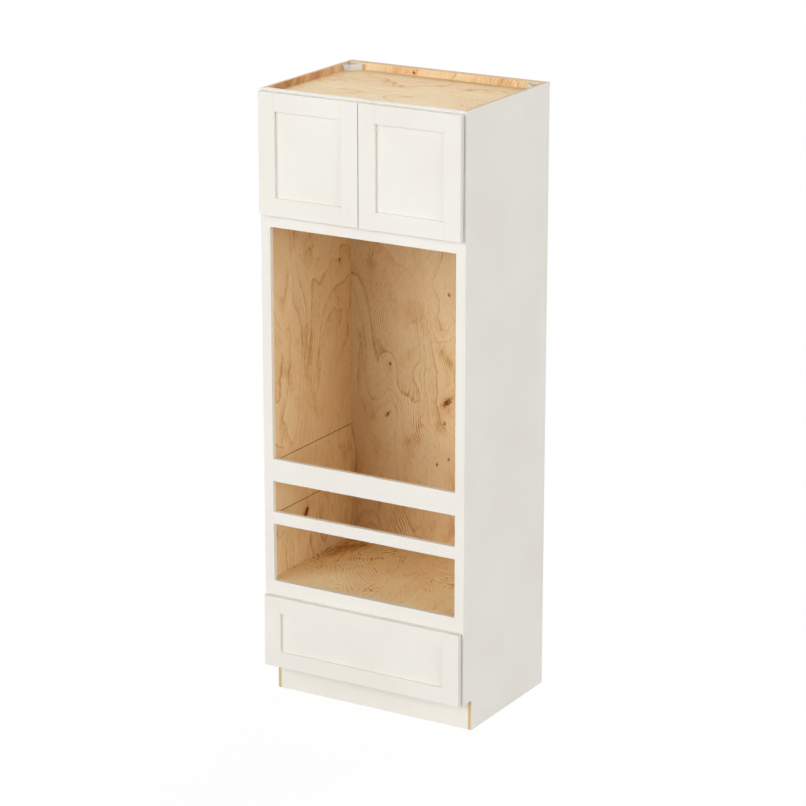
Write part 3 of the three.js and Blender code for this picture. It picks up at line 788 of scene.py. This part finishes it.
def hinge_screws(screw, steel):
    """Two through each cup's ears into the door, and two through each arm's plate."""
    frame_middle = sum(corner.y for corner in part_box("frame_stile_left")) / 2
    for hand, inward in HANDS:
        for level in ("lower", "upper"):
            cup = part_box(f"hinge_cup_{hand}_{level}")
            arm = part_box(f"hinge_arm_{hand}_{level}")
            ear_place = side_of(cup, inward) - inward * CUP_SCREW_INSET
            plate_place = side_of(arm, inward) - inward * PLATE_STEP
            middle = (cup[0].z + cup[1].z) / 2
            for end, label in ((-1, "below"), (1, "above")):
                seat = (ear_place, cup[1].y, middle + end * CUP_SCREW_RISE)
                name = f"cup_screw_{hand}_{level}_{label}"
                plant(screw, name, seat, BACKWARD, steel, f"{hand}_door")
                seat = (plate_place, frame_middle, middle + end * PLATE_SCREW_RISE)
                name = f"plate_screw_{hand}_{level}_{label}"
                plant(screw, name, seat, (inward, 0, 0), steel, "carcass")


def brace_and_slide_screws(screw, steel):
    """Two down through each corner brace, and two through the tab of each fixed slide rail."""
    for hand, inward in HANDS:
        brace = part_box(f"corner_brace_{hand}")
        low, high = brace
        corner = side_of(brace, -inward)
        places = ((BRACE_SCREW_FAR, BRACE_SCREW_NEAR), (BRACE_SCREW_NEAR, BRACE_SCREW_FAR))
        for number, (off_x, off_y) in enumerate(places, 1):
            seat = (corner + inward * off_x, high.y - off_y, low.z + BRACE_WALL)
            plant(screw, f"brace_screw_{hand}_{number}", seat, UPWARD, steel, "carcass")
        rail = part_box(f"slide_rail_{hand}")
        low, high = rail
        outer = side_of(rail, -inward)
        for number, share in enumerate(SLIDE_SCREW_SHARES, 1):
            height = low.z + (high.z - low.z) * share
            seat = (outer + inward * SLIDE_TAB_WIDTH / 2, low.y + SLIDE_SHEET, height)
            plant(screw, f"slide_screw_{hand}_{number}", seat, BACKWARD, steel, "carcass")


def drawer_front_screws(screw, steel):
    """Four from inside the drawer, through the box into its painted front."""
    low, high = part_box("drawer_box_front")
    for across in FRONT_SCREW_SHARES:
        for up in FRONT_SCREW_SHARES:
            seat = (low.x + (high.x - low.x) * across, high.y, low.z + (high.z - low.z) * up)
            name = f"front_screw_{round(across * 10)}_{round(up * 10)}"
            plant(screw, name, seat, BACKWARD, steel, "drawer")


def bumpers(bumper, rubber):
    """Near the corners that land on the frame: two for each door, four for the drawer's front."""
    for hand, inward in HANDS:
        stiles = (
            ("door", f"{hand}_door_meeting_stile", f"{hand}_door", inward),
            ("drawer", f"drawer_front_stile_{hand}", "drawer", -inward),
        )
        for label, node, body, edge in stiles:
            low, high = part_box(node)
            across = side_of((low, high), edge) - edge * BUMPER_INSET
            heights = {"lower": low.z + BUMPER_INSET, "upper": high.z - BUMPER_INSET}
            for level, height in heights.items():
                name = f"{label}_bumper_{hand}_{level}"
                seat = (across, high.y, height)
                plant(bumper, name, seat, BACKWARD, rubber, body)


def slide_clips(plastic):
    """Under the drawer's front: a clip each side with a thumb lever, beside the slide's runner."""
    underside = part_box("drawer_bottom")[0].z
    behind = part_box("drawer_box_front")[1].y
    clip_size = (CLIP_WIDTH, CLIP_LENGTH, CLIP_HEIGHT)
    lever_size = [length * share for length, share in zip(clip_size, LEVER_SHARES)]
    lever_drop = Vector((0, 0, CLIP_HEIGHT * LEVER_DROP_SHARE))
    for hand, inward in HANDS:
        beside = side_of(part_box(f"slide_runner_{hand}"), inward)
        middle = Vector((
            beside + inward * (CLIP_GAP + CLIP_WIDTH / 2),
            behind + CLIP_GAP + CLIP_LENGTH / 2,
            underside - CLIP_TOP_GAP - CLIP_HEIGHT / 2,
        ))
        clip = block(f"slide_clip_{hand}", clip_size, middle)
        select_faces(clip, lambda face: face.normal.z < -FACING)
        bpy.ops.mesh.inset(thickness=CLIP_WIDTH * CLIP_WALL_SHARE)
        hollow = (0, 0, CLIP_HEIGHT * CLIP_HOLLOW_SHARE)
        bpy.ops.mesh.extrude_region_move(TRANSFORM_OT_translate={"value": hollow})
        leave_edit()
        lever = block(f"clip_lever_{hand}", lever_size, middle - lever_drop)
        for piece, rounding in ((clip, CLIP_ROUNDING), (lever, LEVER_ROUNDING)):
            ease_edges(piece, rounding, 3)
            piece.data.materials.append(plastic)
            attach(piece, "drawer")


def back_staples(staple, steel):
    """Rows of staples through the back panel into the boards that meet it."""
    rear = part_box("back_panel")[1].y
    for node in ("oven_deck", "cupboard_floor"):
        low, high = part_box(node)
        reach = (high.x - low.x) / 2 - STAPLE_INSET
        for number in range(STAPLES_PER_ROW):
            across = reach * (2 * number / (STAPLES_PER_ROW - 1) - 1)
            seat = ((low.x + high.x) / 2 + across, rear, (low.z + high.z) / 2)
            name = f"back_staple_{node}_{number + 1}"
            plant(staple, name, seat, BACKWARD, steel, "carcass")


def fit_hardware(steel, plastic):
    """Makes one pattern of each kind, plants its copies and clears the patterns away."""
    screw = screw_pattern()
    staple = staple_pattern()
    bumper = bumper_pattern()
    hinge_screws(screw, steel)
    brace_and_slide_screws(screw, steel)
    drawer_front_screws(screw, steel)
    bumpers(bumper, soft_rubber())
    slide_clips(plastic)
    back_staples(staple, steel)
    for pattern in (staple, screw, bumper):
        bpy.data.objects.remove(pattern)


# ---- Stage ----
def build_stage():
    """A wide pale floor that looks white from the camera and keeps a faint shadow."""
    bpy.ops.object.select_all(action="DESELECT")
    bpy.ops.mesh.primitive_plane_add(size=FLOOR_SIZE, location=(0, 0, 0))
    floor = bpy.context.object
    floor.name = "studio_floor"
    finish = Graph(bpy.data.materials.new("studio_white"))
    seen = finish.seen_rays()
    tone = finish.mix(seen, FLOOR_TONE, WHITE)
    matt = finish.node("ShaderNodeBsdfDiffuse", None, {"Color": tone})
    glow = finish.node("ShaderNodeEmission", None, {"Color": WHITE, "Strength": FLOOR_LIFT})
    shown = finish.node("ShaderNodeMixShader", None, {0: seen * FLOOR_GLOW, 1: matt, 2: glow})
    finish.feed(finish.tree.nodes["Material Output"].inputs["Surface"], shown)
    floor.data.materials.append(finish.owner)


def build_world():
    """Even studio light, and plain white where the camera or a reflection looks past the floor."""
    sky = Graph(bpy.data.worlds.new("studio"))
    bpy.context.scene.world = sky.owner
    background = sky.tree.nodes["Background"]
    sky.feed(background.inputs["Color"], WHITE)
    sky.feed(background.inputs["Strength"], WORLD_LIGHT + sky.seen_rays() * (1.0 - WORLD_LIGHT))


def soft_sun(name, aim, level):
    """Far, soft light along a direction; at level 1 it shows a face square to it as written."""
    data = bpy.data.lights.new(name, "SUN")
    data.energy = level * math.pi
    data.angle = LAMP_SPREAD
    lamp = bpy.data.objects.new(name, data)
    bpy.context.collection.objects.link(lamp)
    lamp.location = [-LAMP_DISTANCE * step for step in aim]
    lamp.rotation_mode = "QUATERNION"
    lamp.rotation_quaternion = Vector(aim).to_track_quat("-Z", "Y")


def build_camera():
    data = bpy.data.cameras.new("photograph")
    data.lens = CAMERA_LENS
    data.clip_end = CAMERA_REACH
    camera = bpy.data.objects.new("photograph", data)
    bpy.context.collection.objects.link(camera)
    camera.location = CAMERA_PLACE
    camera.rotation_euler = (math.pi / 2 - CAMERA_DIP, 0.0, CAMERA_HEADING)
    bpy.context.scene.camera = camera
    bpy.context.scene.view_settings.view_transform = "Standard"


# ---- Knots, stained spots and painted shade ----
# Each one's place across and along the grain, its radius and its slant.
BACK_KNOTS = [
    (-0.229, 1.159, 0.0075, 0.0),
    (-0.240, 0.960, 0.0105, 0.6),
    (0.016, 1.043, 0.020, 0.7),
    (0.006, 0.960, 0.0075, 0.0),
    (0.024, 0.822, 0.0065, 0.2),
    (-0.026, 0.795, 0.0065, 0.0),
    (0.023, 1.457, 0.007, -0.4),
    (-0.127, 2.270, 0.0075, -0.3),
]
BACK_STAINS_AND_SHADE = [
    # The first two are painted shade: the back wall darker low on its left, behind the slot.
    (-0.330, 0.640, 0.170, 0.0),
    (-0.190, 0.570, 0.090, 0.0),
    # The rest are stained spots, most of them round knots.
    (-0.310, 1.528, 0.020, 0.0),
    (-0.146, 1.204, 0.022, 0.6),
    (-0.157, 0.864, 0.018, 0.0),
    (0.024, 1.203, 0.016, -0.5),
    (0.022, 1.200, 0.034, -0.4),
    (-0.007, 1.233, 0.013, 0.3),
    (0.016, 1.043, 0.045, 0.7),
    (-0.127, 2.275, 0.024, 0.3),
    (0.249, 2.272, 0.034, 0.0),
]
LEFT_KNOTS = [
    (0.207, 1.553, 0.008, 0.0),
    (-0.036, 0.644, 0.012, 0.4),
    (-0.050, 0.622, 0.016, 0.6),
    (0.206, 0.511, 0.008, 0.0),
]
LEFT_DARKENINGS = [
    # Darker wood round two knots.
    (-0.043, 0.633, 0.040, 0.5),
    # A darker band along the top of the left wall.
    (-0.230, 2.280, 0.120, 0.0),
    (-0.080, 2.280, 0.120, 0.0),
    (0.080, 2.280, 0.120, 0.0),
    (0.230, 2.280, 0.120, 0.0),
    (-0.155, 2.290, 0.100, 0.0),
    (0.010, 2.290, 0.090, 0.0),
]
# Painted shade on the decks: darker at the rear left corner, along the left wall and along the
# back.
DECK_PAINTED_SHADE = [
    (-0.330, 0.250, 0.140, 0.0),
    (-0.340, 0.120, 0.120, 0.0),
    (-0.120, 0.290, 0.090, 0.0),
]
TOP_KNOTS = [
    (0.091, -0.067, 0.008, 0.0),
    (0.150, 0.180, 0.008, 0.3),
]
TOP_STAINS = [
    (0.091, -0.067, 0.020, 0.0),
    (0.150, 0.180, 0.024, 0.3),
    (-0.060, -0.210, 0.026, 0.2),
]


# ---- Assembly ----
def build():
    paint = sprayed_paint()
    walls = {
        "left": veneer("left_wall_veneer", "yz", LEFT_KNOTS, LEFT_DARKENINGS, seed=63.4, speckle=1.25),
        "right": veneer("right_wall_veneer", "yz", seed=8.3),
    }
    back = veneer("back_wall_veneer", "xz", BACK_KNOTS, BACK_STAINS_AND_SHADE, seed=14.9, speckle=1.25)
    deck = veneer(
        "deck_veneer",
        "xy",
        stains_and_shade=DECK_PAINTED_SHADE,
        tones=DECK_TONES,
        seed=99.4,
        pitch=-40.0,
        rippled=1.45,
        speckle=1.7,
    )
    top = veneer("top_deck_veneer", "yx", TOP_KNOTS, TOP_STAINS, TOP_TONES, seed=9.4, speckle=1.65)
    rail = veneer("hanging_rail_veneer", "zx", seed=2.9)
    edges = {axis: ply_edge(f"plywood_edge_{axis}", axis) for axis in "xyz"}

    paint_fronts_and_frame(paint)
    finish_side_panels(paint, walls, edges["x"], groove_shade_finish())
    finish_boards(["back_panel"], back, edges["y"], 1)
    finish_boards(["oven_deck", "base_floor", "cupboard_floor"], deck, edges["z"], 2)
    finish_boards(["top_deck"], top, edges["z"], 2)
    finish_boards(named("hang_rail_"), rail, edges["y"], 1)
    finish_drawer_box(
        solid_hardwood("drawer_side_wood", "z", "y", seed=1.0),
        solid_hardwood("drawer_end_wood", "z", "x", seed=5.0),
        end_grain(),
        veneer("drawer_bottom_veneer", "yx", seed=3.3),
        edges["z"],
    )
    steel = plated_steel()
    plastic = moulded_plastic()
    finish_hardware(steel, plastic)
    fit_hardware(steel, plastic)

    build_stage()
    build_world()
    for name, (aim, level) in LAMPS.items():
        soft_sun(name, aim, level)
    build_camera()


build()
